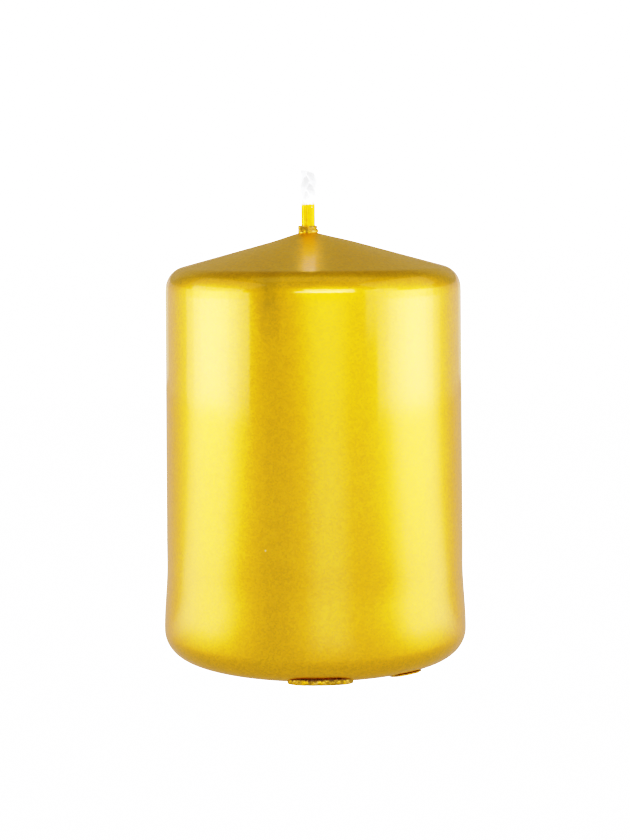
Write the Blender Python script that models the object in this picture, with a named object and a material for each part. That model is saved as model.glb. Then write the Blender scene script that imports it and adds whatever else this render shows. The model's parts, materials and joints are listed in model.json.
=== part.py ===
"""Pillar candle with a gold lacquer finish, in metres, +Z up, standing on z = 0.

A pressed paraffin core takes a plaited wick that is crimped into a tinplate sustainer.  The core
is dipped in harder wax, then in metallic lacquer, which also wets the lower end of the free wick.
"""

import math

import bmesh
import bpy
from mathutils import Matrix, Vector

# body, outside of the lacquer
FOOT_RADIUS = 0.03075
WAIST_RADIUS = 0.0300
TOP_RADIUS = 0.0295
WAIST_HEIGHT = 0.0236
FOOT_CORNER = 0.0053
SHOULDER_HEIGHT = 0.0777
SHOULDER_FILLET = 0.0045
CONE_SLOPE = math.radians(15.2)

# layers, from the outside in
COAT_WALL = 0.00025
JACKET_WALL = 0.0015
LAYER_GAP = 0.0001
JACKET_DEPTH = COAT_WALL + LAYER_GAP
CORE_DEPTH = JACKET_DEPTH + JACKET_WALL + LAYER_GAP
COAT_SEGMENTS = 64
WAX_SEGMENTS = 48
ARC_STEPS = 5
SIDE_STEPS = 3

# wick, plaited from three strands, standing a little off the body's axis
WICK_X = -0.0009
STRANDS = 3
STRAND_RADIUS = 0.00038
PLAIT_HALF_WIDTH = 0.00085
PLAIT_HALF_DEPTH = 0.00056
PLAIT_PITCH = 0.0090
PLAIT_SAMPLES = 12
BORE_RADIUS = 0.00155

# wick sustainer
DISC_RADIUS = 0.00635
DISC_THICKNESS = 0.0003
NECK_OUTER_RADIUS = 0.00185
NECK_INNER_RADIUS = 0.00148
NECK_HEIGHT = 0.0042
SEAT_CLEARANCE = 0.00015

# what shows above the cone
COLLAR_TOP = 0.0867
COLLAR_HALF_WIDTH = 0.00205
SLEEVE_TOP = 0.09125
SLEEVE_WALL = 0.00011
SLEEVE_CLEARANCE = 0.00006
PART_GAP = 0.00006

# raw end of the wick, which bends at the edge of the lacquered length
BEND_HEIGHT = SLEEVE_TOP + 0.00045
TIP_START = BEND_HEIGHT + 0.00038
TIP_HEIGHT = 0.09725
TIP_CUT_SLOPE = -0.36
TIP_STRAND_RADIUS = 0.00045
TIP_HALF_WIDTH = 0.00105
TIP_HALF_DEPTH = 0.00062

# dried lacquer lips under the rounded foot: middle angle, half angle, outer radius and height
FRONT_LIP = (math.radians(-88.0), math.radians(13.4), 0.0291, 0.0012)
SIDE_LIP = (math.radians(-48.5), math.radians(8.5), 0.0277, 0.0004)
LIP_STEPS = 12
LIP_GAP = 0.00006

GOLD = (0.80, 0.58, 0.06)
DARK_GOLD = (0.62, 0.40, 0.05)
WAX = (0.90, 0.86, 0.74)
PRESSED_WAX = (0.93, 0.91, 0.85)
TINPLATE = (0.62, 0.62, 0.60)
COTTON = (0.92, 0.90, 0.84)


def clear_scene():
    for item in list(bpy.data.objects):
        bpy.data.objects.remove(item, do_unlink=True)


def make_material(name, colour, metallic, roughness):
    material = bpy.data.materials.new(name)
    material.use_nodes = True
    shader = material.node_tree.nodes["Principled BSDF"]
    shader.inputs["Base Color"].default_value = (*colour, 1.0)
    shader.inputs["Metallic"].default_value = metallic
    shader.inputs["Roughness"].default_value = roughness
    return material


def add_object(name, data, material=None, parent=None):
    item = bpy.data.objects.new(name, data)
    bpy.context.collection.objects.link(item)
    if material is not None:
        data.materials.append(material)
    item.parent = parent
    return item


def add_empty(name, place):
    empty = add_object(name, None)
    empty.location = place
    empty.empty_display_size = 0.004
    return empty


def mesh_from(build, name):
    """A mesh of the faces that build adds to an empty bmesh, facing outward."""
    work = bmesh.new()
    build(work)
    bmesh.ops.remove_doubles(work, verts=work.verts, dist=1e-7)
    bmesh.ops.recalc_face_normals(work, faces=work.faces)
    mesh = bpy.data.meshes.new(name)
    work.to_mesh(mesh)
    work.free()
    mesh.shade_smooth()
    mesh.set_sharp_from_angle(angle=math.radians(40))
    return mesh


def side_radius(height):
    """Outer radius of the body: widest at the foot, a waist, then a slight taper upward."""
    if height > WAIST_HEIGHT:
        rise = (height - WAIST_HEIGHT) / (SHOULDER_HEIGHT - WAIST_HEIGHT)
        return WAIST_RADIUS + rise * (TOP_RADIUS - WAIST_RADIUS)
    rise = (height - FOOT_CORNER) / (WAIST_HEIGHT - FOOT_CORNER)
    ease = rise * rise * (3.0 - 2.0 * rise)
    return FOOT_RADIUS + ease * (WAIST_RADIUS - FOOT_RADIUS)


def cone_height(radius):
    """Height of the outer cone at a distance from the body's axis."""
    return SHOULDER_HEIGHT + (TOP_RADIUS - radius) * math.tan(CONE_SLOPE)


def arc(centre, radius, start, end, steps):
    angles = [start + (end - start) * step / steps for step in range(steps + 1)]
    return [(centre[0] + radius * math.cos(a), centre[1] + radius * math.sin(a)) for a in angles]


def body_outline(depth):
    """Radius and height points from the apex to the centre of the base, a depth below the skin."""
    sweep = math.pi / 2 - CONE_SLOPE
    tangent = SHOULDER_FILLET * math.tan(sweep / 2)
    shoulder = (TOP_RADIUS - SHOULDER_FILLET, SHOULDER_HEIGHT - tangent)
    apex = (0.0, cone_height(0.0) - depth / math.cos(CONE_SLOPE))
    points = [apex]
    points += arc(shoulder, SHOULDER_FILLET - depth, sweep, 0.0, ARC_STEPS)
    for low, high in ((WAIST_HEIGHT, shoulder[1]), (FOOT_CORNER, WAIST_HEIGHT)):
        for step in range(SIDE_STEPS, 0, -1):
            height = low + (high - low) * (step - 0.5) / SIDE_STEPS
            points.append((side_radius(height) - depth, height))
    foot = (FOOT_RADIUS - FOOT_CORNER, FOOT_CORNER)
    points += arc(foot, FOOT_CORNER - depth, 0.0, -math.pi / 2, ARC_STEPS)
    points.append((0.0, depth))
    return points


def lathe(work, points, segments, closed=False):
    """Spins radius and height points a full turn about Z."""
    verts = [work.verts.new((radius, 0.0, height)) for radius, height in points]
    edges = [work.edges.new(pair) for pair in zip(verts, verts[1:])]
    if closed:
        edges.append(work.edges.new((verts[-1], verts[0])))
    bmesh.ops.spin(work, geom=verts + edges, cent=(0, 0, 0), axis=(0, 0, 1), angle=2 * math.pi,
                   steps=segments, use_merge=True)


def body_mesh(name, depth, segments):
    return mesh_from(lambda work: lathe(work, body_outline(depth), segments), name)


def cylinder_mesh(name, radius, low, high, segments=32):
    def build(work):
        shift = Matrix.Translation((0, 0, (low + high) / 2))
        bmesh.ops.create_cone(work, cap_ends=True, segments=segments, radius1=radius, radius2=radius,
                              depth=high - low, matrix=shift)
    return mesh_from(build, name)


def cut(item, cutter):
    """Takes the cutter out of an object with a live Boolean and hides the cutter."""
    cutter.display_type = "WIRE"
    cutter.hide_render = True
    boolean = item.modifiers.new(cutter.name, "BOOLEAN")
    boolean.operation = "DIFFERENCE"
    boolean.solver = "EXACT"
    boolean.object = cutter


def make_coat(gold, wick_axis):
    """Gold lacquer skin over the whole body, open where the wick comes out."""
    coat = add_object("lacquer_coat", body_mesh("lacquer_coat", 0.0, COAT_SEGMENTS), gold)
    cut(coat, add_object("cut_coat_inside", body_mesh("cut_coat_inside", COAT_WALL, COAT_SEGMENTS)))
    hole = cylinder_mesh("cut_coat_hole", BORE_RADIUS, WAIST_HEIGHT, COLLAR_TOP)
    cut(coat, add_object("cut_coat_hole", hole, parent=wick_axis))


def make_jacket(wax, wick_axis):
    """Hard dipped wax between the pressed core and the lacquer."""
    mesh = body_mesh("dip_jacket", JACKET_DEPTH, WAX_SEGMENTS)
    jacket = add_object("dip_jacket", mesh, wax)
    inside = body_mesh("cut_jacket_inside", JACKET_DEPTH + JACKET_WALL, WAX_SEGMENTS)
    cut(jacket, add_object("cut_jacket_inside", inside))
    hole = cylinder_mesh("cut_jacket_hole", BORE_RADIUS, WAIST_HEIGHT, COLLAR_TOP)
    cut(jacket, add_object("cut_jacket_hole", hole, parent=wick_axis))


def make_core(wax, wick_axis):
    """Pressed wax body with the wick bore and the sustainer's seat in its base."""
    core = add_object("pressed_core", body_mesh("pressed_core", CORE_DEPTH, WAX_SEGMENTS), wax)
    below = CORE_DEPTH / 2
    disc_top = CORE_DEPTH + DISC_THICKNESS
    neck_top = disc_top + NECK_HEIGHT
    holes = (
        ("cut_core_bore", BORE_RADIUS, neck_top - SEAT_CLEARANCE, COLLAR_TOP),
        ("cut_core_neck_seat", NECK_OUTER_RADIUS + SEAT_CLEARANCE, below, neck_top + SEAT_CLEARANCE),
        ("cut_core_disc_seat", DISC_RADIUS + SEAT_CLEARANCE, below, disc_top + SEAT_CLEARANCE),
    )
    for name, radius, low, high in holes:
        cut(core, add_object(name, cylinder_mesh(name, radius, low, high), parent=wick_axis))


def make_sustainer(tinplate, wick_axis):
    """Tinplate disc with a crimped neck that holds the end of the wick."""
    low = CORE_DEPTH
    disc_top = low + DISC_THICKNESS
    outline = [
        (NECK_INNER_RADIUS, disc_top + NECK_HEIGHT),
        (NECK_OUTER_RADIUS - DISC_THICKNESS / 3, disc_top + NECK_HEIGHT),
        (NECK_OUTER_RADIUS, disc_top + NECK_HEIGHT * 0.9),
        (NECK_OUTER_RADIUS - DISC_THICKNESS / 3, disc_top + NECK_HEIGHT * 0.6),
        (NECK_OUTER_RADIUS, disc_top + NECK_HEIGHT * 0.3),
        (NECK_OUTER_RADIUS, disc_top),
        (DISC_RADIUS, disc_top),
        (DISC_RADIUS, low),
        (NECK_INNER_RADIUS, low),
    ]
    mesh = mesh_from(lambda work: lathe(work, outline, 32, closed=True), "wick_sustainer")
    add_object("wick_sustainer", mesh, tinplate, wick_axis)


def plait_point(strand, height, half_width, half_depth):
    """Centre of one strand of a flat plait that runs up Z, about the wick's own axis."""
    phase = 2 * math.pi * (height / PLAIT_PITCH + strand / STRANDS)
    return (half_width * math.sin(phase), half_depth * math.sin(2 * phase), height)


def make_strand(name, points, radius, material, parent):
    """A round strand along a list of points, closed at both ends."""
    curve = bpy.data.curves.new(name, "CURVE")
    curve.dimensions = "3D"
    curve.bevel_depth = radius
    curve.bevel_resolution = 1
    curve.use_fill_caps = True
    spline = curve.splines.new("POLY")
    spline.points.add(len(points) - 1)
    for point, place in zip(spline.points, points):
        point.co = (*place, 1.0)
    spline.use_smooth = True
    return add_object(name, curve, material, parent)


def heights_between(low, high):
    count = max(2, round((high - low) / PLAIT_PITCH * PLAIT_SAMPLES))
    return [low + (high - low) * step / count for step in range(count + 1)]


def make_wick(cotton, wick_axis, bend):
    """Strands from the sustainer to the lacquered edge, and their raw ends above the bend."""
    low = CORE_DEPTH + DISC_THICKNESS
    for strand in range(STRANDS):
        held = [
            plait_point(strand, height, PLAIT_HALF_WIDTH, PLAIT_HALF_DEPTH)
            for height in heights_between(low, SLEEVE_TOP)
        ]
        make_strand(f"wick_strand_{strand + 1}", held, STRAND_RADIUS, cotton, wick_axis)
        end_x = plait_point(strand, TIP_HEIGHT, TIP_HALF_WIDTH, TIP_HALF_DEPTH)[0]
        end = TIP_HEIGHT + TIP_CUT_SLOPE * end_x
        free = [
            Vector(plait_point(strand, height, TIP_HALF_WIDTH, TIP_HALF_DEPTH))
            - Vector((0, 0, BEND_HEIGHT))
            for height in heights_between(TIP_START, end)
        ]
        make_strand(f"wick_tip_{strand + 1}", free, TIP_STRAND_RADIUS, cotton, bend)


def oval_ring(work, half_width, half_depth, height, segments):
    turns = [2 * math.pi * step / segments for step in range(segments)]
    return [
        work.verts.new((half_width * math.cos(turn), half_depth * math.sin(turn), height(turn)))
        for turn in turns
    ]


def oval_tube(work, rings, segments=32):
    """A tube whose wall runs through a closed list of (half width, half depth, height) rings."""
    loops = [oval_ring(work, *ring, segments) for ring in rings]
    for loop, following in zip(loops, loops[1:] + loops[:1]):
        for i in range(segments):
            work.faces.new((loop[i - 1], loop[i], following[i], following[i - 1]))


def inner_half_width():
    return PLAIT_HALF_WIDTH + STRAND_RADIUS + SLEEVE_CLEARANCE


def inner_half_depth():
    return PLAIT_HALF_DEPTH + STRAND_RADIUS + SLEEVE_CLEARANCE


def make_sleeve(gold, wick_axis):
    """Lacquer that has soaked and stiffened the lower end of the free wick."""
    width = inner_half_width()
    depth = inner_half_depth()
    wall = SLEEVE_WALL

    def low(_turn):
        return COLLAR_TOP + PART_GAP

    def high(_turn):
        return SLEEVE_TOP

    rings = [
        (width, depth, high), (width + wall, depth + wall, high),
        (width + wall, depth + wall, low), (width, depth, low),
    ]
    mesh = mesh_from(lambda work: oval_tube(work, rings), "wick_lacquer_sleeve")
    add_object("wick_lacquer_sleeve", mesh, gold, wick_axis)


def make_collar(gold, wick_axis):
    """Crumpled bead of lacquer and wax round the wick, resting on the cone."""
    width = inner_half_width()
    depth = inner_half_depth()
    reach = COLLAR_HALF_WIDTH - width

    def cone_under(half_width, half_depth):
        def height(turn):
            place = Vector((WICK_X + half_width * math.cos(turn), half_depth * math.sin(turn)))
            return cone_height(place.length) + PART_GAP
        return height

    def flat(share):
        def height(_turn):
            return COLLAR_TOP - share * 0.0012
        return height

    rings = [
        (width, depth, flat(0.0)),
        (width + reach * 0.45, depth + reach * 0.45, flat(0.0)),
        (width + reach * 0.75, depth + reach * 0.75, flat(0.25)),
        (width + reach * 0.55, depth + reach * 0.55, flat(0.5)),
        (width + reach, depth + reach, flat(0.8)),
        (width + reach, depth + reach, cone_under(width + reach, depth + reach)),
        (width, depth, cone_under(width, depth)),
    ]
    mesh = mesh_from(lambda work: oval_tube(work, rings), "wick_collar")
    add_object("wick_collar", mesh, gold, wick_axis)


def make_lip(name, lip, gold):
    """A dried lacquer lip that fills the wedge between the rounded foot and the table."""
    middle, half_angle, outer, height = lip
    centre = (FOOT_RADIUS - FOOT_CORNER, FOOT_CORNER)
    radius = FOOT_CORNER + LIP_GAP
    start = centre[0] + math.sqrt(radius ** 2 - centre[1] ** 2)
    low_angle = math.atan2(-centre[1], start - centre[0])
    high_angle = math.asin((height - centre[1]) / radius)
    profile = arc(centre, radius, low_angle, high_angle, 4)
    profile += [(outer, height * 0.8), (outer, height * 0.2), (outer - height * 0.2, 0.0)]

    def build(work):
        verts = [work.verts.new((place[0], 0.0, place[1])) for place in profile]
        face = work.faces.new(verts)
        turn = Matrix.Rotation(middle - half_angle, 3, "Z")
        bmesh.ops.rotate(work, verts=verts, cent=(0, 0, 0), matrix=turn)
        bmesh.ops.spin(work, geom=[face], cent=(0, 0, 0), axis=(0, 0, 1), angle=2 * half_angle,
                       steps=LIP_STEPS)
        for vert in work.verts:
            angle = (math.atan2(vert.co.y, vert.co.x) - middle) / half_angle
            flat = Vector((vert.co.x, vert.co.y))
            reach = flat.length - start
            surface = min(vert.co.z, height)
            under = centre[0] + math.sqrt(radius ** 2 - (centre[1] - surface) ** 2)
            if flat.length > under + LIP_GAP / 10:
                keep = 0.45 + 0.55 * math.sqrt(max(0.0, 1.0 - angle ** 4))
                length = max(start + reach * keep, under)
                vert.co.x *= length / flat.length
                vert.co.y *= length / flat.length

    add_object(name, mesh_from(build, name), gold)


def main():
    clear_scene()
    wick_axis = add_empty("wick_axis", (WICK_X, 0.0, 0.0))
    bend = add_empty("wick_bend", (WICK_X, 0.0, BEND_HEIGHT))
    make_coat(make_material("gold_lacquer", GOLD, 0.85, 0.3), wick_axis)
    make_jacket(make_material("dipped_wax", WAX, 0.0, 0.45), wick_axis)
    make_core(make_material("pressed_wax", PRESSED_WAX, 0.0, 0.6), wick_axis)
    make_sustainer(make_material("tinplate", TINPLATE, 0.9, 0.35), wick_axis)
    make_wick(make_material("cotton", COTTON, 0.0, 0.9), wick_axis, bend)
    make_sleeve(make_material("gold_lacquer_on_wick", GOLD, 0.85, 0.35), wick_axis)
    make_collar(make_material("gold_bead", DARK_GOLD, 0.7, 0.4), wick_axis)
    crust = make_material("gold_crust", DARK_GOLD, 0.7, 0.55)
    make_lip("foot_lip_front", FRONT_LIP, crust)
    make_lip("foot_lip_side", SIDE_LIP, crust)


main()
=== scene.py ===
"""Gold lacquered pillar candle: its finished surfaces, materials, light and camera."""
import json
import math

import bpy
import numpy as np
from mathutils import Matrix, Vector


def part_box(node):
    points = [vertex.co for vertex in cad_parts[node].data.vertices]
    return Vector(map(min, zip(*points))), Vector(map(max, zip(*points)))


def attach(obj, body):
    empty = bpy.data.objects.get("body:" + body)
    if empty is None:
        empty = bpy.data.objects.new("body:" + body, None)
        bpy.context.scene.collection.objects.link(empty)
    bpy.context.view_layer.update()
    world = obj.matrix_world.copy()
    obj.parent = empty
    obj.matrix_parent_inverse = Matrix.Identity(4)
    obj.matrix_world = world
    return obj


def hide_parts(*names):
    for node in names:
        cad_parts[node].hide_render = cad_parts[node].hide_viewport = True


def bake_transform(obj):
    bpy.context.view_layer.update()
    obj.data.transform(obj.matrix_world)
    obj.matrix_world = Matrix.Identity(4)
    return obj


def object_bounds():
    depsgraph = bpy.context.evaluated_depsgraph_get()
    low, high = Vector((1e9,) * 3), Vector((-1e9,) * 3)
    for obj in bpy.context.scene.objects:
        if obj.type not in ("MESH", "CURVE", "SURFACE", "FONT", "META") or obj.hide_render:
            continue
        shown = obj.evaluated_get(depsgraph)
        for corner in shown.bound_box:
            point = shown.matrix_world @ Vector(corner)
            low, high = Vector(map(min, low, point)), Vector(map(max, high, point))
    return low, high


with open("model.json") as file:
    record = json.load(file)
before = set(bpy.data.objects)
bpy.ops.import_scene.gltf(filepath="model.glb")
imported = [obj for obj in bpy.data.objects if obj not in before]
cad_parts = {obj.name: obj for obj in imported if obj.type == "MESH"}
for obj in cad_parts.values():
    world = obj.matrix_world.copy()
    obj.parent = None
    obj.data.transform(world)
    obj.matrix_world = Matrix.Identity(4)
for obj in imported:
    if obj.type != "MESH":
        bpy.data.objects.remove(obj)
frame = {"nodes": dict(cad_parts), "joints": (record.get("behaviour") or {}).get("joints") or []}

MM = 0.001
cad_low, cad_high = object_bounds()

# ---------------------------------------------------------------- sizes, in metres
coat_high = np.array(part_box("lacquer_coat")[1])
sleeve_low, sleeve_high = (np.array(corner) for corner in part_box("wick_lacquer_sleeve"))
collar_low, collar_high = (np.array(corner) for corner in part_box("wick_collar"))
disc_high = np.array(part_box("wick_sustainer")[1])
tip_high = max(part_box(f"wick_tip_{strand}")[1].z for strand in (1, 2, 3))
BEND = np.array(frame["joints"][0]["pos_m"])

FOOT_RADIUS = coat_high[0] - 0.05 * MM
WAIST_RADIUS = FOOT_RADIUS - 0.70 * MM
TOP_RADIUS = WAIST_RADIUS - 0.50 * MM
WAIST_HEIGHT = 23.6 * MM
SKIN_FLARE = 19.0 * MM
FOOT_CORNER = 5.3 * MM
SHOULDER_HEIGHT = 77.7 * MM
SHOULDER_FILLET = 4.5 * MM
CONE_SLOPE = math.radians(15.2)
COAT_WALL = 0.25 * MM
BORE_RADIUS = 1.55 * MM
AROUND_BODY = 360
# points on the cone, shoulder, side, foot and base, outside and inside the skin
SKIN_ROWS = (30, 26, 120, 30, 12)
LINING_ROWS = (4, 6, 12, 8, 3)

STRANDS = 3
PLAIT_PITCH = 9.0 * MM
YARN_PITCH = 3.2 * MM
FADE_LENGTH = 0.9 * MM
WICK_X = BEND[0]
CREASE_TURN = math.radians(249.0)
CREASE_WIDTH = 0.17


# ---------------------------------------------------------------- small tools
def smoothstep(low, high, value):
    share = np.clip((value - low) / (high - low), 0.0, 1.0)
    return share * share * (3.0 - 2.0 * share)


# random values in -1..1, one at each corner of a cubic lattice that repeats
LATTICE = np.random.default_rng(7).uniform(-1.0, 1.0, (32, 32, 32))


def noise(points, size, seed=0):
    """Value noise: lattice values blended with a smoothstep in each of three directions."""
    place = np.asarray(points, float) / size + 17.31 * (seed + 1)
    cell = np.floor(place).astype(int)
    share = place - cell
    share = share * share * (3.0 - 2.0 * share)
    count = LATTICE.shape[0]
    total = np.zeros(place.shape[:-1])
    for corner in np.ndindex(2, 2, 2):
        weight = np.ones(place.shape[:-1])
        for axis in range(3):
            part = share[..., axis]
            weight = weight * (part if corner[axis] else 1.0 - part)
        index = [(cell[..., axis] + corner[axis]) % count for axis in range(3)]
        total += weight * LATTICE[index[0], index[1], index[2]]
    return total


def layered_noise(points, size, layers=3, seed=0):
    """Noise summed over layers, each half as large and half as strong as the last."""
    return sum(noise(points, size / 2 ** layer, seed + layer) / 2 ** layer for layer in range(layers))


def add_mesh(name, verts, faces):
    mesh = bpy.data.meshes.new(name)
    mesh.from_pydata(verts.tolist(), [], faces)
    mesh.polygons.foreach_set("use_smooth", np.ones(len(mesh.polygons), bool))
    mesh.update()
    item = bpy.data.objects.new(name, mesh)
    bpy.context.scene.collection.objects.link(item)
    return item


def volume(verts, faces):
    """Signed volume of a closed surface: the sum over its triangles of a . (b x c) / 6."""
    triangles = np.array([(f[0], f[i], f[i + 1]) for f in faces for i in range(1, len(f) - 1)])
    a, b, c = (verts[triangles[:, i]] for i in range(3))
    return float(np.einsum("ij,ij->i", a, np.cross(b, c)).sum() / 6.0)


def tube_surface(name, rings, loop=False, poles=(None, None)):
    """A closed surface through rings of points: quads between rings, and a fan to each pole.

    With loop, the last ring joins the first, as on a torus.
    """
    count, around = rings.shape[:2]
    verts = [rings.reshape(-1, 3)]
    index = np.arange(count * around).reshape(count, around)
    pairs = index if loop else index[:-1]
    following = np.roll(index, -1, axis=0)[: len(pairs)]
    side = np.stack(
        [pairs, np.roll(pairs, -1, axis=1), np.roll(following, -1, axis=1), following], axis=-1
    )
    faces = side.reshape(-1, 4).tolist()
    first, last = index[0], index[-1]
    fans = ((np.roll(first, -1), first), (last, np.roll(last, -1)))
    for pole, fan in zip(poles, fans):
        if pole is not None:
            centre = sum(len(part) for part in verts)
            verts.append(np.asarray(pole, float).reshape(1, 3))
            faces += np.stack([*fan, np.full(around, centre)], axis=-1).tolist()
    verts = np.concatenate(verts)
    if volume(verts, faces) < 0:
        faces = [face[::-1] for face in faces]
    return add_mesh(name, verts, faces)


def point_values(item, name, values):
    """Stores one number per vertex, for the materials to read."""
    item.data.attributes.new(name, "FLOAT", "POINT").data.foreach_set(
        "value", np.asarray(values, np.float32).ravel()
    )


# ---------------------------------------------------------------- shader tools
def new_group(name, inputs, outputs):
    group = bpy.data.node_groups.new(name, "ShaderNodeTree")
    for label, kind, value in inputs:
        socket = group.interface.new_socket(label, in_out="INPUT", socket_type=kind)
        if value is not None:
            socket.default_value = value
    for label, kind in outputs:
        group.interface.new_socket(label, in_out="OUTPUT", socket_type=kind)
    return group, group.nodes.new("NodeGroupInput"), group.nodes.new("NodeGroupOutput")


def node(tree, kind, links=None, **settings):
    """Adds a node, sets its properties, and fills or links its inputs by name or number."""
    made = tree.nodes.new(kind)
    for key, value in settings.items():
        setattr(made, key, value)
    for key, value in (links or {}).items():
        socket = made.inputs[key]
        if isinstance(value, bpy.types.NodeSocket):
            tree.links.new(value, socket)
        else:
            socket.default_value = value
    return made


def math_node(tree, operation, *values, clamp=False):
    made = node(tree, "ShaderNodeMath", dict(enumerate(values)), operation=operation)
    made.use_clamp = clamp
    return made.outputs[0]


def vector_math(tree, operation, *values):
    made = node(tree, "ShaderNodeVectorMath", dict(enumerate(values)), operation=operation)
    gives_number = operation in ("DISTANCE", "DOT_PRODUCT", "LENGTH")
    return made.outputs["Value" if gives_number else "Vector"]


def mix_colour(tree, factor, first, second):
    links = {0: factor, 6: first, 7: second}
    return node(tree, "ShaderNodeMix", links, data_type="RGBA").outputs[2]


def noise_node(tree, place, scale, detail):
    links = {"Vector": place, "Scale": scale, "Detail": detail, "Roughness": 0.5}
    return node(tree, "ShaderNodeTexNoise", links).outputs["Fac"]


def span(tree, value, low, high, to_low=0.0, to_high=1.0):
    links = {0: value, 1: low, 2: high, 3: to_low, 4: to_high}
    return node(tree, "ShaderNodeMapRange", links, clamp=True).outputs[0]


def new_material(name, **constants):
    material = bpy.data.materials.new(name)
    material.use_nodes = True
    tree = material.node_tree
    shader = tree.nodes["Principled BSDF"]
    for label, value in constants.items():
        shader.inputs[label.replace("_", " ")].default_value = value
    place = tree.nodes.new("ShaderNodeTexCoord").outputs["Object"]
    return material, tree, shader, place


def add_bump(tree, shader, height, strength, distance):
    bump = node(tree, "ShaderNodeBump", {"Height": height, "Strength": strength, "Distance": distance})
    tree.links.new(bump.outputs[0], shader.inputs["Normal"])


def place_group(tree, group, links):
    return node(tree, "ShaderNodeGroup", links, node_tree=group).outputs


def flake_group():
    """Metallic flakes: cells with a random shade each, and a fine lumpy height."""
    group, given, result = new_group(
        "metal_flakes",
        [("Place", "NodeSocketVector", None), ("Size", "NodeSocketFloat", 0.0003),
         ("Contrast", "NodeSocketFloat", 0.1)],
        [("Shade", "NodeSocketFloat"), ("Height", "NodeSocketFloat")],
    )
    scale = math_node(group, "DIVIDE", 1.0, given.outputs["Size"])
    cells = node(group, "ShaderNodeTexVoronoi", {"Vector": given.outputs["Place"], "Scale": scale})
    split = node(group, "ShaderNodeSeparateColor", {"Color": cells.outputs["Color"]})
    centred = math_node(group, "SUBTRACT", split.outputs[0], 0.5)
    shade = math_node(group, "MULTIPLY", centred, given.outputs["Contrast"])
    half = math_node(group, "MULTIPLY", scale, 0.5)
    soft = noise_node(group, given.outputs["Place"], half, 2.0)
    group.links.new(math_node(group, "ADD", shade, 1.0), result.inputs["Shade"])
    height = math_node(group, "ADD", math_node(group, "MULTIPLY", split.outputs[1], 0.5), soft)
    group.links.new(height, result.inputs["Height"])
    return group


FLAKES = flake_group()


# ---------------------------------------------------------------- materials
GOLD = (0.95, 0.508, 0.004, 1.0)
DEEP_GOLD = (0.88, 0.445, 0.003, 1.0)
# colour of a painted glint
GLINT_GOLD = (1.0, 0.82, 0.35, 1.0)
# amber of the painted crease shade and of a painted dark reflection
SHADE_AMBER = (0.44, 0.235, 0.012, 1.0)
# brown of the deepest painted crease shade
CREASE_SHADE_BROWN = (0.12, 0.062, 0.004, 1.0)
STRAW = (0.66, 0.42, 0.14, 1.0)
PALE_COTTON = (0.96, 0.93, 0.84, 1.0)
# centre of a painted glint on the body
GLINT_SPOT = (-9.3 * MM, -28.5 * MM, 26.0 * MM)
# centre of a painted dark reflection below the shoulder
DARK_REFLECTION_SPOT = (-8.6 * MM, -28.5 * MM, 73.5 * MM)
# one over the painted dark reflection's reach along each axis, per metre
DARK_REFLECTION_SCALE = (380.0, 120.0, 115.0)


def gold_lacquer(name, fading=False):
    """Metallic lacquer: saturated gold flakes under a clear satin binder, thinner on the cone, with a
    painted glint and a painted dark reflection in its colour on the body.

    With fading, it thins out to pale cotton where the attribute gilt falls to nothing.
    """
    material, tree, shader, place = new_material(
        name, Metallic=1.0, Coat_Roughness=0.10, Coat_IOR=1.9
    )
    flakes = place_group(tree, FLAKES, {"Place": place, "Size": 0.32 * MM, "Contrast": 0.22})
    clouds = noise_node(tree, place, 90.0, 3.0)
    base = mix_colour(tree, span(tree, clouds, 0.3, 0.7, 0.0, 0.35), GOLD, DEEP_GOLD)
    colour = vector_math(tree, "MULTIPLY", base, flakes["Shade"])
    if fading:
        gilt = node(tree, "ShaderNodeAttribute", None, attribute_name="gilt").outputs["Fac"]
        ragged = span(tree, noise_node(tree, place, 2500.0, 2.0), 0.3, 0.7, -0.25, 0.25)
        film = span(tree, math_node(tree, "ADD", gilt, ragged), 0.2, 0.8)
        colour = mix_colour(tree, film, PALE_COTTON, colour)
        tree.links.new(film, shader.inputs["Metallic"])
    else:
        # painted glint: the colour turns pale gold in a small spot on the body's front
        painted_glint = span(tree, vector_math(tree, "DISTANCE", place, GLINT_SPOT), 0.10 * MM, 0.30 * MM, 0.8, 0.0)
        colour = mix_colour(tree, painted_glint, colour, GLINT_GOLD)
        # painted dark reflection: the colour darkens towards amber round a point below the shoulder, with a
        # ragged edge
        shrunk = vector_math(tree, "MULTIPLY", vector_math(tree, "SUBTRACT", place, DARK_REFLECTION_SPOT), DARK_REFLECTION_SCALE)
        reach = vector_math(tree, "LENGTH", shrunk)
        ragged = span(tree, noise_node(tree, place, 420.0, 3.0), 0.3, 0.7, -0.25, 0.25)
        thin = span(tree, math_node(tree, "ADD", reach, ragged), 0.1, 1.1, 0.55, 0.0)
        colour = mix_colour(tree, thin, colour, SHADE_AMBER)
    tree.links.new(colour, shader.inputs["Base Color"])
    level = node(tree, "ShaderNodeSeparateXYZ", {0: place}).outputs["Z"]
    tree.links.new(span(tree, level, 76.0 * MM, 79.0 * MM, 0.55, 0.15), shader.inputs["Coat Weight"])
    fine = noise_node(tree, place, 900.0, 2.0)
    tree.links.new(span(tree, fine, 0.2, 0.8, 0.38, 0.46), shader.inputs["Roughness"])
    swell = noise_node(tree, place, 260.0, 2.0)
    height = math_node(tree, "ADD", math_node(tree, "MULTIPLY", flakes["Height"], 0.3), swell)
    add_bump(tree, shader, height, 0.35, 0.02 * MM)
    return material


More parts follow.
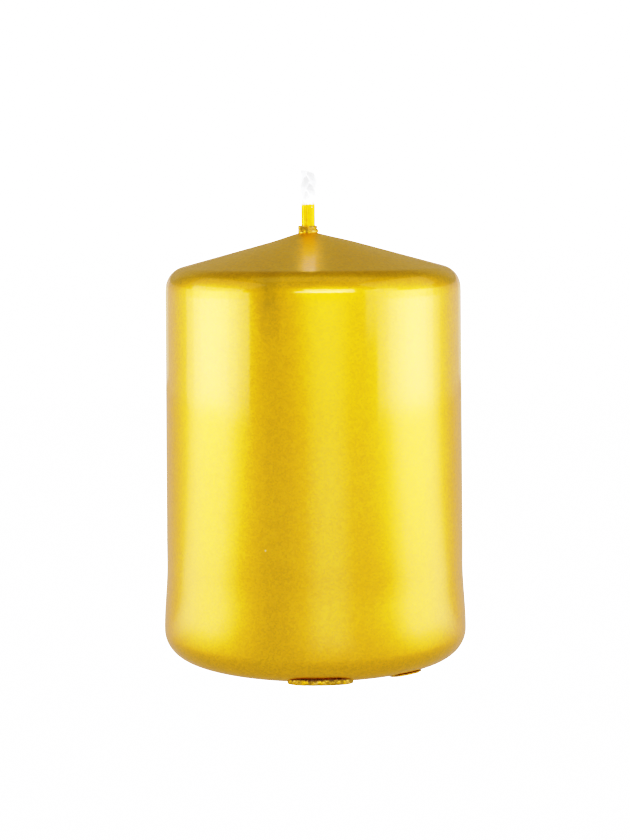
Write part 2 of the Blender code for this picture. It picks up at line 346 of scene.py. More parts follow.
def gold_crust():
    """Dried lacquer and wax: gold and straw on the high spots, with painted shade going amber to brown in
    the creases.
    """
    material, tree, shader, place = new_material("crust_with_crease_shade", Coat_Weight=0.2, Coat_Roughness=0.25)
    # the crease attribute is painted shade, darker in folds and hollows
    crease = node(tree, "ShaderNodeAttribute", None, attribute_name="crease").outputs["Fac"]
    flakes = place_group(tree, FLAKES, {"Place": place, "Size": 0.22 * MM, "Contrast": 0.5})
    grains = noise_node(tree, place, 2600.0, 3.0)
    depth = math_node(tree, "ADD", crease, span(tree, grains, 0.4, 0.75, -0.05, 0.25), clamp=True)
    bright = vector_math(tree, "MULTIPLY", GOLD[:3], flakes["Shade"])
    patches = span(tree, noise_node(tree, place, 1100.0, 2.0), 0.42, 0.62, 0.0, 0.8)
    high = mix_colour(tree, patches, bright, STRAW)
    # the creases darken to amber, then brown: painted shade
    middle = mix_colour(tree, span(tree, depth, 0.1, 0.55), high, SHADE_AMBER)
    tree.links.new(mix_colour(tree, span(tree, depth, 0.6, 1.0), middle, CREASE_SHADE_BROWN), shader.inputs["Base Color"])
    tree.links.new(span(tree, depth, 0.0, 0.7, 0.75, 0.1), shader.inputs["Metallic"])
    tree.links.new(span(tree, depth, 0.0, 1.0, 0.36, 0.65), shader.inputs["Roughness"])
    height = math_node(tree, "ADD", grains, math_node(tree, "MULTIPLY", flakes["Height"], 0.5))
    add_bump(tree, shader, height, 0.6, 0.06 * MM)
    return material


def wick_cotton():
    """Bleached cotton yarn, gilded where the lacquer has soaked in."""
    material, tree, shader, place = new_material("cotton_finish", Sheen_Weight=0.6, Sheen_Roughness=0.5)
    gilt = node(tree, "ShaderNodeAttribute", None, attribute_name="gilt").outputs["Fac"]
    stretch = node(tree, "ShaderNodeMapping", {"Vector": place, "Scale": (1.0, 1.0, 0.25)}).outputs[0]
    fibre = noise_node(tree, stretch, 9000.0, 2.0)
    cotton = mix_colour(tree, span(tree, fibre, 0.3, 0.7), (0.93, 0.93, 0.90, 1.0), (0.99, 0.99, 0.98, 1.0))
    ragged = noise_node(tree, stretch, 2500.0, 3.0)
    edge = math_node(tree, "ADD", gilt, span(tree, ragged, 0.3, 0.7, -0.3, 0.3))
    soaked = span(tree, edge, 0.42, 0.58)
    tree.links.new(mix_colour(tree, soaked, cotton, GOLD), shader.inputs["Base Color"])
    tree.links.new(soaked, shader.inputs["Metallic"])
    tree.links.new(span(tree, soaked, 0.0, 1.0, 0.85, 0.4), shader.inputs["Roughness"])
    add_bump(tree, shader, fibre, 0.35, 0.02 * MM)
    return material


def dipped_wax():
    """Hard cream wax with faint clouds and drain streaks down the side."""
    material, tree, shader, place = new_material(
        "dipped_wax_finish", Subsurface_Weight=0.3, Subsurface_Scale=2.0 * MM, Coat_Weight=0.2
    )
    streak = node(tree, "ShaderNodeMapping", {"Vector": place, "Scale": (1.0, 1.0, 0.15)}).outputs[0]
    clouds = noise_node(tree, streak, 220.0, 4.0)
    colour = mix_colour(tree, span(tree, clouds, 0.3, 0.7), (0.86, 0.80, 0.64, 1.0), (0.93, 0.89, 0.77, 1.0))
    tree.links.new(colour, shader.inputs["Base Color"])
    tree.links.new(span(tree, clouds, 0.2, 0.8, 0.38, 0.55), shader.inputs["Roughness"])
    add_bump(tree, shader, clouds, 0.2, 0.1 * MM)
    return material


def pressed_wax():
    """Wax beads pressed together: pale cells with a matt edge round each."""
    material, tree, shader, place = new_material(
        "pressed_wax_finish", Subsurface_Weight=0.2, Subsurface_Scale=1.5 * MM
    )
    beads = node(tree, "ShaderNodeTexVoronoi", {"Vector": place, "Scale": 900.0})
    edges = node(tree, "ShaderNodeTexVoronoi", {"Vector": place, "Scale": 900.0}, feature="DISTANCE_TO_EDGE")
    rim = span(tree, edges.outputs["Distance"], 0.0, 0.12)
    tone = node(tree, "ShaderNodeSeparateColor", {"Color": beads.outputs["Color"]}).outputs[0]
    colour = mix_colour(tree, tone, (0.86, 0.84, 0.77, 1.0), (0.95, 0.94, 0.90, 1.0))
    tree.links.new(mix_colour(tree, rim, (0.74, 0.71, 0.62, 1.0), colour), shader.inputs["Base Color"])
    tree.links.new(span(tree, tone, 0.0, 1.0, 0.5, 0.7), shader.inputs["Roughness"])
    add_bump(tree, shader, rim, 0.4, 0.1 * MM)
    return material


def tinplate():
    """Stamped tinplate: rolled grain one way, with duller patches."""
    material, tree, shader, place = new_material("tinplate_finish", Metallic=1.0)
    rolled = node(tree, "ShaderNodeMapping", {"Vector": place, "Scale": (1.0, 0.06, 1.0)}).outputs[0]
    grain = noise_node(tree, rolled, 5000.0, 3.0)
    patches = noise_node(tree, place, 500.0, 3.0)
    dull, clean = (0.62, 0.61, 0.58, 1.0), (0.74, 0.74, 0.72, 1.0)
    colour = mix_colour(tree, span(tree, patches, 0.3, 0.7), dull, clean)
    tree.links.new(colour, shader.inputs["Base Color"])
    tree.links.new(span(tree, grain, 0.2, 0.8, 0.22, 0.45), shader.inputs["Roughness"])
    add_bump(tree, shader, grain, 0.2, 0.02 * MM)
    return material


def dress(item, material):
    item.data.materials.clear()
    item.data.materials.append(material)


# ---------------------------------------------------------------- body
def side_radius(height, flare_top):
    """Outer radius: a smoothstep from the foot in to the waist, then a straight taper up."""
    lower = FOOT_RADIUS + smoothstep(FOOT_CORNER, flare_top, height) * (WAIST_RADIUS - FOOT_RADIUS)
    rise = np.clip((height - WAIST_HEIGHT) / (SHOULDER_HEIGHT - WAIST_HEIGHT), 0.0, 1.0)
    return lower + rise * (TOP_RADIUS - WAIST_RADIUS)


def cone_height(radius):
    return SHOULDER_HEIGHT + (TOP_RADIUS - radius) * math.tan(CONE_SLOPE)


def body_outline(depth, rows, flare_top):
    """Radius and height pairs from the wick hole to the base, a depth below the skin.

    The cone is a straight line, the shoulder and the foot are arcs, and the side is
    side_radius; rows gives the number of points on cone, shoulder, side, foot and base.
    """
    sweep = math.pi / 2 - CONE_SLOPE
    tangent = SHOULDER_FILLET * math.tan(sweep / 2)
    shoulder = np.array([TOP_RADIUS - SHOULDER_FILLET, SHOULDER_HEIGHT - tangent])
    foot = np.array([FOOT_RADIUS - FOOT_CORNER, FOOT_CORNER])
    cone_rows, shoulder_rows, side_rows, foot_rows, base_rows = rows
    turn = np.linspace(sweep, 0.0, shoulder_rows)
    arc = shoulder + (SHOULDER_FILLET - depth) * np.stack([np.cos(turn), np.sin(turn)], axis=1)
    radius = np.linspace(BORE_RADIUS, arc[0, 0], cone_rows, endpoint=False)
    cone = np.stack([radius, cone_height(radius) - depth / math.cos(CONE_SLOPE)], axis=1)
    height = np.linspace(shoulder[1], FOOT_CORNER, side_rows + 2)[1:-1]
    side = np.stack([side_radius(height, flare_top) - depth, height], axis=1)
    turn = np.linspace(0.0, -math.pi / 2, foot_rows)
    corner = foot + (FOOT_CORNER - depth) * np.stack([np.cos(turn), np.sin(turn)], axis=1)
    radius = np.linspace(corner[-1, 0], 0.0, base_rows + 1, endpoint=False)[1:]
    base = np.stack([radius, np.full(base_rows, depth)], axis=1)
    return np.concatenate([cone, arc, side, corner, base])


def turned(outline, around):
    """Carries an outline round Z. Near the wick, rings slide over to stand round its axis."""
    turn = np.linspace(0.0, 2 * math.pi, around, endpoint=False)
    radius, height = outline[:, :1], outline[:, 1:]
    near = np.where(height > WAIST_HEIGHT, 1.0 - smoothstep(BORE_RADIUS, 9.0 * MM, radius), 0.0)
    x = radius * np.cos(turn) + WICK_X * near
    y = radius * np.sin(turn)
    return np.stack([x, y, np.broadcast_to(height, x.shape)], axis=-1)


def waviness(points):
    """How far the dipped skin swells: broad soft lobes, drawn out downward by draining."""
    drawn = points * np.array([1.0, 1.0, 0.45])
    broad = noise(drawn, 16.0 * MM, 1)
    fine = noise(drawn, 5.0 * MM, 2)
    return 0.030 * MM * broad + 0.006 * MM * fine


def make_body(material):
    """The lacquer skin: its lining from the base up to the wick hole, then its outside back down.

    Both are turned outlines, the outside swollen by the waviness, and a pole closes each base.
    """
    outer = turned(body_outline(0.0, SKIN_ROWS, SKIN_FLARE), AROUND_BODY)
    away = np.concatenate([outer[..., :2], np.zeros(outer.shape[:2] + (1,))], axis=-1)
    reach = np.linalg.norm(away, axis=-1, keepdims=True)
    standing = smoothstep(0.0, FOOT_CORNER, outer[..., 2])[..., None]
    swell = np.minimum(waviness(outer)[..., None], coat_high[0] - reach)
    outer = outer + away / np.maximum(reach, 1e-9) * swell * standing * smoothstep(2 * MM, 9 * MM, reach)
    inner = turned(body_outline(COAT_WALL, LINING_ROWS, WAIST_HEIGHT), AROUND_BODY)[::-1]
    poles = ((0.0, 0.0, inner[0, 0, 2]), (0.0, 0.0, outer[-1, 0, 2]))
    item = tube_surface("candle_skin", np.concatenate([inner, outer]), poles=poles)
    dress(item, material)
    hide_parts("lacquer_coat")
    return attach(item, "candle")


# ---------------------------------------------------------------- wick
def plait_size(height):
    """Plait half width and half depth, then strand half width and half depth.

    The strands are round and tight in the wax, and flat, wide and close where they are raw.
    """
    loose = smoothstep(sleeve_high[2] - 0.1 * MM, sleeve_high[2] + 1.0 * MM, height)
    flare = smoothstep(tip_high - 2.0 * MM, tip_high, height)
    half_width = (0.80 + 0.10 * loose + 0.04 * flare) * MM
    half_depth = (0.50 - 0.06 * loose) * MM
    strand_width = (0.38 + 0.32 * loose) * MM
    strand_depth = (0.38 + 0.04 * loose) * MM
    return half_width, half_depth, strand_width, strand_depth


def plait_centre(strand, height):
    """Centre of a strand: x swings as sin t and y as sin 2t while t grows with height."""
    half_width, half_depth = plait_size(height)[:2]
    phase = 2 * math.pi * (height / PLAIT_PITCH + strand / STRANDS)
    x = WICK_X + half_width * np.sin(phase)
    return np.stack([x, half_depth * np.sin(2 * phase), height], axis=-1)


def cut_height(x):
    """The slanted cut across the wick's end, highest on the left."""
    return np.minimum(tip_high - 0.10 * MM - 0.36 * (x - (WICK_X - 1.0 * MM)), tip_high - 0.08 * MM)


def make_strand(strand, material):
    """A strand of twisted yarns: a round tube whose radius swells over each yarn."""
    low = disc_high[2] - 4.0 * MM
    heights = np.concatenate([
        np.arange(low, collar_low[2], 0.30 * MM), np.arange(collar_low[2], tip_high, 0.06 * MM),
    ])
    centre = plait_centre(strand, heights)
    along = np.gradient(centre, axis=0)
    along /= np.linalg.norm(along, axis=1, keepdims=True)
    sideways = np.cross(np.array([0.0, 1.0, 0.0]), along)
    sideways /= np.linalg.norm(sideways, axis=1, keepdims=True)
    forward = np.cross(along, sideways)
    turn = np.linspace(0.0, 2 * math.pi, 28, endpoint=False)
    wide, deep = (size[:, None, None] for size in plait_size(heights)[2:])
    twist = heights[:, None] / YARN_PITCH * 2 * math.pi
    yarn = 0.09 * np.abs(np.cos(2.5 * (turn[None, :] + twist + strand))) - 0.05
    lumps = noise(np.stack(np.broadcast_arrays(
        turn[None, :] * 0.4 * MM, twist * 0.1 * MM, heights[:, None]), axis=-1), 0.35 * MM, strand)
    across = wide * np.cos(turn)[None, :, None] * sideways[:, None, :]
    through = deep * np.sin(turn)[None, :, None] * forward[:, None, :]
    rings = centre[:, None, :] + (1.0 + yarn + 0.05 * lumps)[..., None] * (across + through)
    ceiling = cut_height(rings[..., 0]) + 0.05 * MM * noise(rings, 0.15 * MM, 5 + strand)
    rings[..., 2] = np.minimum(rings[..., 2], ceiling)
    last = rings[-1]
    middle = last.mean(axis=0)
    caps = [middle + (last - middle) * share for share in (0.7, 0.35)]
    for cap in caps:
        cap[:, 2] = cut_height(cap[:, 0]) + 0.05 * MM * noise(cap, 0.12 * MM, 9)
    rings = np.concatenate([rings, np.array(caps)])
    item = tube_surface(f"wick_cord_{strand + 1}", rings, poles=(centre[0], middle))
    height = np.array([vert.co.z for vert in item.data.vertices])
    edge = sleeve_high[2] - FADE_LENGTH
    point_values(item, "gilt", np.clip(0.5 - (height - edge) / FADE_LENGTH, 0.0, 1.0))
    dress(item, material)
    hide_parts(f"wick_strand_{strand + 1}", f"wick_tip_{strand + 1}")
    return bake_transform(item)


def make_sleeve(material):
    """Stiff lacquer over the strands: an oval tube with shallow ribs along it, ragged on top.

    The outer reach is the oval's radius, less a narrow crease in front and a row of faint ribs;
    the inner reach lies a thin film below it.
    """
    around = 128
    turn = np.linspace(0.0, 2 * math.pi, around, endpoint=False)[None, :]
    share = np.linspace(0.0, 1.0, 90)[:, None]
    half_width = (sleeve_high[0] - sleeve_low[0]) / 2 - 0.02 * MM
    half_depth = (sleeve_high[1] - sleeve_low[1]) / 2 - 0.03 * MM
    low = collar_low[2] + 0.7 * MM
    edge_points = np.stack(np.broadcast_arrays(np.cos(turn) * MM, np.sin(turn) * MM, 0.0 * turn), axis=-1)
    high = sleeve_high[2] - 0.02 * MM - 0.12 * MM * np.abs(layered_noise(edge_points, 0.5 * MM, 2, 4))
    height = low + (high - low) * share
    oval = half_width * half_depth / np.hypot(half_depth * np.cos(turn), half_width * np.sin(turn))
    from_crease = (turn - CREASE_TURN + math.pi) % (2 * math.pi) - math.pi
    crease = np.exp(-((from_crease / CREASE_WIDTH) ** 2)) * (1.0 - smoothstep(0.90, 1.0, share))
    ribs = np.cos(7.0 * turn + 0.6)
    wander = np.stack(np.broadcast_arrays(oval * np.cos(turn), oval * np.sin(turn), height * 0.4), axis=-1)
    relief = 0.20 * crease + 0.018 * ribs - 0.022 * layered_noise(wander, 0.7 * MM, 2, 3)
    outer_reach = oval - (0.03 + relief) * MM
    film = 0.045 * MM * (1.0 - 0.8 * smoothstep(0.85, 1.0, share))

    def wall(reaches):
        return np.stack([WICK_X + reaches * np.cos(turn), reaches * np.sin(turn), height], axis=-1)

    rings = np.concatenate([wall(outer_reach), wall(outer_reach - film)[::-1]])
    item = tube_surface("lacquered_wick", rings, loop=True)
    fade = np.broadcast_to(1.0 - smoothstep(0.88, 1.0, share), outer_reach.shape)
    point_values(item, "gilt", np.concatenate([fade, fade[::-1]]))
    dress(item, material)
    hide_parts("wick_lacquer_sleeve")
    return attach(item, "candle")


def make_collar(material):
    """Crumpled bead round the wick: two stacked swellings with folds, hollow in the middle."""
    around = 200
    turn = np.linspace(0.0, 2 * math.pi, around, endpoint=False)[None, :]
    share = np.linspace(0.0, 1.0, 90)[:, None]
    drop = collar_high[2] - 0.04 * MM
    tiers = 1.50 + 0.52 * np.sqrt(share) - 0.14 * np.exp(-(((share - 0.42) / 0.10) ** 2))
    radius = (tiers - 0.38 * (1.0 - share) * np.minimum(np.cos(turn), 0.0)) * MM
    flat = 1.0 - 0.12 * np.sin(turn) ** 2
    radius = radius * flat
    x = WICK_X + radius * np.cos(turn)
    y = radius * np.sin(turn)
    ground = cone_height(np.hypot(x, y)) - 0.02 * MM
    height = drop + (ground - drop) * share
    place = np.stack([x, y, height], axis=-1)
    folds = layered_noise(place * np.array([1.0, 1.0, 1.6]), 0.8 * MM, 4, 11)
    fade = 1.0 - smoothstep(0.9, 1.0, share)
    push = 0.20 * MM * folds * (0.25 + fade * 0.75)
    limit = (collar_high[0] - WICK_X) * flat
    radius = np.clip(radius + push, 1.40 * MM, limit)
    lift = 0.10 * MM * layered_noise(place, 0.6 * MM, 3, 15) * smoothstep(0.0, 0.15, share) * fade
    outer = np.stack([WICK_X + radius * np.cos(turn), radius * np.sin(turn), height + lift], axis=-1)
    inner_radius = np.broadcast_to(1.30 * MM * (1.0 - 0.15 * np.sin(turn) ** 2), (2, around))
    inner_height = np.array([[ground.min() - 0.1 * MM], [drop - 0.15 * MM]])
    inner = np.stack([
        WICK_X + inner_radius * np.cos(turn), inner_radius * np.sin(turn),
        np.broadcast_to(inner_height, (2, around)),
    ], axis=-1)
    item = tube_surface("wax_bead", np.concatenate([outer, inner]), loop=True)
    # painted shade: darker where the folds sink in, read by the crust's colour
    crease = 0.55 * smoothstep(0.05, -0.45, np.concatenate([folds, np.zeros((2, around))]))
    point_values(item, "crease", crease)
    dress(item, material)
    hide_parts("wick_collar")
    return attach(item, "candle")


def make_fibres(material):
    """Fine loose fibres on the raw cotton: thin three-sided hairs that curve away and taper."""
    random = np.random.default_rng(23)
    count = 170
    steps = 5
    height = np.where(random.uniform(size=count) < 0.45, tip_high - 0.4 * MM * random.uniform(size=count),
                      random.uniform(BEND[2] + 0.3 * MM, tip_high - 0.3 * MM, count))
    strand = random.integers(0, STRANDS, count)
    centre = np.array([plait_centre(k, np.array(h)) for k, h in zip(strand, height)])
    turn = random.uniform(0.0, 2 * math.pi, count)
    outward = np.stack([np.cos(turn), np.sin(turn), np.zeros(count)], axis=1)
    wide, deep = plait_size(height)[2:]
    root = centre + outward * np.stack([wide, deep, wide], axis=1) * 0.9
    root[:, 2] = np.minimum(root[:, 2], cut_height(root[:, 0]) - 0.05 * MM)
    length = random.uniform(0.15, 0.55, count)[:, None] * MM
    lift = random.uniform(-0.2, 1.2, count)[:, None] * np.array([0.0, 0.0, 1.0])
    curl = random.normal(0.0, 0.5, (count, 3))
    share = np.linspace(0.0, 1.0, steps)[None, :, None]
    path = root[:, None, :] + length[:, None, :] * (
        share * (outward * 0.6 + lift)[:, None, :] + share ** 2 * curl[:, None, :]
    )
    path[..., 2] = np.minimum(path[..., 2], cad_high.z - 0.02 * MM)
    thickness = 0.013 * MM * (1.0 - 0.7 * share)
    corner = np.linspace(0.0, 2 * math.pi, 3, endpoint=False)
    spokes = np.stack([np.cos(corner), np.sin(corner), np.zeros(3)], axis=1)
    aside = np.cross(outward, np.array([0.0, 0.0, 1.0]))
    upward = np.array([0.0, 0.0, 1.0])
    across = spokes[None, None, :, :1] * aside[:, None, None, :] + spokes[None, None, :, 1:2] * upward
    verts = path[:, :, None, :] + thickness[..., None] * across
    index = np.arange(count * steps * 3).reshape(count, steps, 3)
    side = np.stack([
        index[:, :-1], np.roll(index[:, :-1], -1, axis=2), np.roll(index[:, 1:], -1, axis=2), index[:, 1:],
    ], axis=-1).reshape(-1, 4)
    ends = np.concatenate([index[:, 0, ::-1], index[:, -1]])
    item = add_mesh("wick_fibres", verts.reshape(-1, 3), side.tolist() + ends.tolist())
    point_values(item, "gilt", np.zeros(len(item.data.vertices)))
    dress(item, material)
    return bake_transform(item)


# ---------------------------------------------------------------- dried lips under the foot
def make_lip(name, cad_node, middle, half_angle, outer, height, seed, material):
    """A crusty wedge between the foot's arc and the floor, carried round Z and tapered at its ends."""
    stations, around = 180, 72
    run = around // 3  # points on the back, on the face and on the floor
    centre = np.array([FOOT_RADIUS - FOOT_CORNER, FOOT_CORNER])
    under = FOOT_CORNER + 0.02 * MM
    start = centre[0] + 0.8 * MM
    top_turn = math.asin((height - centre[1]) / under)
    low_turn = math.atan2(-centre[1], start - centre[0])
    back_turn = np.linspace(low_turn, top_turn, run)
    back = centre + under * np.stack([np.cos(back_turn), np.sin(back_turn)], axis=1)
    face_share = np.linspace(0.0, 1.0, run)
    bulge = 0.12 * MM * np.sin(math.pi * face_share)
    face = np.stack([outer - 0.10 * MM * (1 - face_share) ** 2 + bulge,
                     height * (1.0 - face_share)], axis=1)
    floor_share = np.linspace(0.0, 1.0, run + 2)[1:-1]
    floor = np.stack([outer + (start - outer) * floor_share, np.zeros(run)], axis=1)
    profile = np.concatenate([back, face, floor])
    angle = np.linspace(-1.0, 1.0, stations)[:, None]
    keep = 0.30 + 0.70 * np.sqrt(np.maximum(1.0 - angle ** 4, 0.0))
    radius = start + (profile[None, :, 0] - start) * keep
    level = np.broadcast_to(profile[None, :, 1], radius.shape).copy()
    below = np.sqrt(np.maximum(under ** 2 - (centre[1] - level) ** 2, 0.0)) + centre[0]
    level = np.where(radius < below - 1e-7, centre[1] - np.sqrt(
        np.maximum(under ** 2 - (radius - centre[0]) ** 2, 0.0)), level)
    level = np.maximum(level, 0.0)
    turn = middle + half_angle * angle
    place = np.stack([radius * np.cos(turn), radius * np.sin(turn), level], axis=-1)
    crust = layered_noise(place, 0.55 * MM, 4, seed)
    free = np.zeros(around)
    free[run - 2:2 * run + 2] = np.concatenate([
        np.linspace(0.2, 1.0, 6), np.ones(18), np.linspace(1.0, 0.3, 4),
    ])
    push = 0.13 * MM * crust * free[None, :] * (1.0 - 0.6 * angle ** 8)
    radius = radius + push
    place = np.stack([radius * np.cos(turn), radius * np.sin(turn), level], axis=-1)
    ends = (place[0].mean(axis=0), place[-1].mean(axis=0))
    item = tube_surface(name, place, poles=ends)
    # painted shade: darker in the crust's hollows, and a painted shadow line along the top, where the lip
    # meets the foot
    depth = 0.55 * smoothstep(0.10, -0.35, crust)
    painted_shadow_line = np.exp(-(((np.arange(around) - run - 1) / 5.0) ** 2))[None, :]
    crease = np.concatenate([np.clip(depth + painted_shadow_line, 0.0, 1.0).ravel(), [0.5, 0.5]])
    point_values(item, "crease", crease)
    dress(item, material)
    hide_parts(cad_node)
    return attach(item, "candle")


# ---------------------------------------------------------------- studio
CAMERA_DISTANCE = 0.396
CAMERA_ASIDE = 0.00048
CAMERA_HEIGHT = 0.09225
CAMERA_PITCH = math.radians(6.437)
CAMERA_ROLL = math.radians(0.372)
LENS = 84.557143
SENSOR = 36.0
FILM_WHITE = 4.0
AMBIENT = 0.33
LIGHT_DISTANCE = 0.5
LIGHT_CENTRE = (0.0, 0.0, 0.06)
# name, first and last azimuth, lowest and highest elevation, all in degrees, and radiance
PANELS = (
    ("right_front_panel", 39.0, 48.0, -2.0, 18.0, 1.6),
    ("right_softbox_1", 48.0, 58.0, -6.0, 9.0, 2.06),
    ("right_softbox_2", 58.0, 66.0, -6.0, 9.0, 2.89),
    ("right_softbox_3", 66.0, 73.0, -6.0, 9.0, 3.39),
    ("right_softbox_4", 73.0, 87.0, -6.0, 9.0, 4.02),
    ("right_softbox_5", 87.0, 94.0, -6.0, 9.0, 3.39),
    ("right_softbox_6", 94.0, 102.0, -6.0, 9.0, 2.27),
    ("right_softbox_7", 102.0, 112.0, -6.0, 9.0, 0.9),
    ("right_rear_panel", 112.0, 148.0, -6.0, 9.0, 0.4),
    ("right_upper_panel_1", 48.0, 66.0, 9.0, 20.0, 2.06),
    ("right_upper_panel_2", 66.0, 105.0, 9.0, 22.0, 0.86),
    ("right_high_panel", 50.0, 110.0, 22.0, 50.0, 0.84),
    ("left_softbox_1", -58.0, -48.0, -6.0, 9.0, 2.17),
    ("left_softbox_2", -66.0, -58.0, -6.0, 9.0, 2.75),
    ("left_softbox_3", -73.0, -66.0, -6.0, 9.0, 3.52),
    ("left_softbox_4", -87.0, -73.0, -6.0, 9.0, 3.98),
    ("left_softbox_5", -94.0, -87.0, -6.0, 9.0, 3.52),
    ("left_softbox_6", -102.0, -94.0, -6.0, 9.0, 2.43),
    ("left_softbox_7", -112.0, -102.0, -6.0, 9.0, 1.23),
    ("left_rear_panel", -148.0, -112.0, -6.0, 9.0, 0.3),
    ("left_upper_panel", -105.0, -55.0, 9.0, 22.0, 2.06),
    ("left_high_panel", -110.0, -50.0, 22.0, 50.0, 0.67),
    ("front_softbox_1", -13.0, -2.0, 8.0, 15.0, 6.06),
    ("front_softbox_2", -2.0, 20.0, 8.0, 15.0, 8.99),
    ("front_softbox_3", 20.0, 31.0, 8.0, 15.0, 6.06),
    ("front_upper_panel", -6.0, 30.0, 15.0, 24.0, 4.6),
    ("front_high_panel", -4.0, 12.0, 24.0, 27.0, 1.2),
    ("front_ceiling_panel", -20.0, 40.0, 40.0, 60.0, 0.2),
    ("ceiling_panel", -30.0, 30.0, 62.0, 90.0, 0.5),
    ("back_upper_panel", 145.0, 215.0, 14.0, 44.0, 0.22),
    ("back_panel", 150.0, 210.0, -6.0, 9.0, 0.76),
)
# azimuth, half width and half width of the full part in degrees, and radiance
FLOOR_POOLS = ((83.0, 30.0, 13.0, 1.9), (-83.0, 30.0, 13.0, 1.8), (10.0, 17.0, 4.0, 0.75))
POOL_START = (0.045, 0.10)
SPOT_POWER = 60.0
SPOT_ANGLE = math.radians(0.9)
SPOT_OFFSET = (0.03, -0.21, 0.14)
FLOOR_GLOW = 0.42
FILM_CURVE = (
    (0.03, 0.005), (0.08, 0.030), (0.18, 0.157), (0.50, 0.46), (1.00, 0.76), (2.00, 0.95),
)


def make_camera():
    data = bpy.data.cameras.new("camera")
    data.sensor_width = SENSOR
    data.lens = LENS
    data.clip_start = 0.01
    camera = bpy.data.objects.new("camera", data)
    bpy.context.scene.collection.objects.link(camera)
    camera.location = (CAMERA_ASIDE, -CAMERA_DISTANCE, CAMERA_HEIGHT)
    camera.rotation_mode = "XYZ"
    camera.rotation_euler = (math.pi / 2 - CAMERA_PITCH, CAMERA_ROLL, 0.0)
    bpy.context.scene.camera = camera


def light_panel(name, first, last, low, high, radiance):
    """A rectangular light facing the candle, given by its angles as seen from the candle.

    Azimuth 0 lies on the camera's side and grows towards +X. A Cycles area light's power is its
    radiance x area x pi.
    """
    first, last, low, high = (math.radians(angle) for angle in (first, last, low, high))
    azimuth, rise = (first + last) / 2, (low + high) / 2
    outward = Vector((
        math.sin(azimuth) * math.cos(rise), -math.cos(azimuth) * math.cos(rise), math.sin(rise),
    ))
    data = bpy.data.lights.new(name, "AREA")
    data.shape = "RECTANGLE"
    data.size = 2 * LIGHT_DISTANCE * math.tan((last - first) / 2)
    data.size_y = 2 * LIGHT_DISTANCE * math.tan((high - low) / 2)
    data.energy = radiance * data.size * data.size_y * math.pi
    item = bpy.data.objects.new(name, data)
    bpy.context.scene.collection.objects.link(item)
    item.location = Vector(LIGHT_CENTRE) + LIGHT_DISTANCE * outward
    item.rotation_mode = "QUATERNION"
    item.rotation_quaternion = (-outward).to_track_quat("-Z", "Y")
    item.visible_camera = False


def floor_pools(tree):
    """Radiance of the table by azimuth round the candle: soft pools that start outside its foot."""
    place = tree.nodes.new("ShaderNodeTexCoord").outputs["Object"]
    flat = vector_math(tree, "MULTIPLY", place, (1.0, 1.0, 0.0))
    away = vector_math(tree, "LENGTH", flat)
    outward = vector_math(tree, "NORMALIZE", flat)
    total = FLOOR_GLOW
    for azimuth, edge, full, radiance in FLOOR_POOLS:
        azimuth, edge, full = (math.radians(angle) for angle in (azimuth, edge, full))
        middle = (math.sin(azimuth), -math.cos(azimuth), 0.0)
        facing = vector_math(tree, "DOT_PRODUCT", outward, middle)
        pool = span(tree, facing, math.cos(edge), math.cos(full), 0.0, radiance)
        pool = math_node(tree, "MULTIPLY", pool, span(tree, away, *POOL_START))
        total = math_node(tree, "ADD", pool, total)
    return total


def wick_spot():
    """A narrow spotlight from the front and above that just covers the raw cotton."""
    data = bpy.data.lights.new("wick_spot", "SPOT")
    data.energy = SPOT_POWER
    data.spot_size = SPOT_ANGLE
    data.spot_blend = 0.3
    data.shadow_soft_size = 0.003
    item = bpy.data.objects.new("wick_spot", data)
    bpy.context.scene.collection.objects.link(item)
    target = Vector((WICK_X, 0.0, (BEND[2] + tip_high) / 2 + 0.3 * MM))
    item.location = target + Vector(SPOT_OFFSET)
    item.rotation_mode = "QUATERNION"
    item.rotation_quaternion = (target - item.location).to_track_quat("-Z", "Y")
    item.visible_camera = False


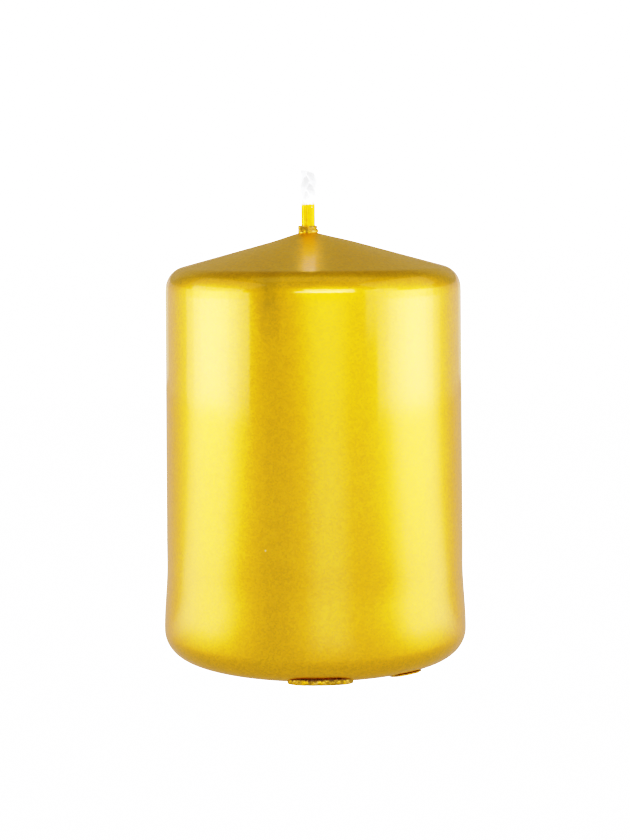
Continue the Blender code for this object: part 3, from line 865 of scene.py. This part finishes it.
def make_studio():
    scene = bpy.context.scene
    scene.view_settings.view_transform = "Standard"
    scene.view_settings.use_curve_mapping = True
    mapping = scene.view_settings.curve_mapping
    mapping.white_level = (FILM_WHITE, FILM_WHITE, FILM_WHITE)
    for light, shown in FILM_CURVE:
        mapping.curves[3].points.new(light / FILM_WHITE, shown)
    mapping.update()
    world = bpy.data.worlds.new("studio")
    scene.world = world
    world.use_nodes = True
    tree = world.node_tree
    background = tree.nodes["Background"]
    background.inputs["Color"].default_value = (1.0, 1.0, 1.0, 1.0)
    rays = tree.nodes.new("ShaderNodeLightPath").outputs["Is Camera Ray"]
    tree.links.new(span(tree, rays, 0.0, 1.0, AMBIENT, FILM_WHITE), background.inputs["Strength"])
    corners = np.array([(-3, -3, 0), (3, -3, 0), (3, 3, 0), (-3, 3, 0)], float)
    floor = add_mesh("floor", corners, [(0, 1, 2, 3)])
    material = bpy.data.materials.new("white_table")
    material.use_nodes = True
    tree = material.node_tree
    shader = tree.nodes["Principled BSDF"]
    shader.inputs["Base Color"].default_value = (0.2, 0.2, 0.2, 1.0)
    shader.inputs["Roughness"].default_value = 0.7
    shader.inputs["Emission Color"].default_value = (1.0, 1.0, 1.0, 1.0)
    rays = tree.nodes.new("ShaderNodeLightPath").outputs["Is Camera Ray"]
    glow = span(tree, rays, 0.0, 1.0, floor_pools(tree), FILM_WHITE)
    tree.links.new(glow, shader.inputs["Emission Strength"])
    floor.data.materials.append(material)
    for panel_settings in PANELS:
        light_panel(*panel_settings)
    wick_spot()


# ---------------------------------------------------------------- assembly
def main():
    lacquer = gold_lacquer("lacquer_finish")
    crust = gold_crust()
    cotton = wick_cotton()
    make_body(lacquer)
    for strand in range(STRANDS):
        make_strand(strand, cotton)
    make_fibres(cotton)
    make_sleeve(gold_lacquer("wick_lacquer_finish", fading=True))
    make_collar(crust)
    make_lip("front_crust", "foot_lip_front", math.radians(-88.0), math.radians(13.4),
             29.1 * MM, 1.2 * MM, 31, crust)
    make_lip("side_crust", "foot_lip_side", math.radians(-48.5), math.radians(8.5),
             27.7 * MM, 0.4 * MM, 37, crust)
    for name, material, slot in (
        ("dip_jacket", dipped_wax(), "dipped_wax"),
        ("pressed_core", pressed_wax(), "pressed_wax"),
        ("wick_sustainer", tinplate(), "tinplate"),
    ):
        dress(frame["nodes"][name], material)
    make_camera()
    make_studio()


main()
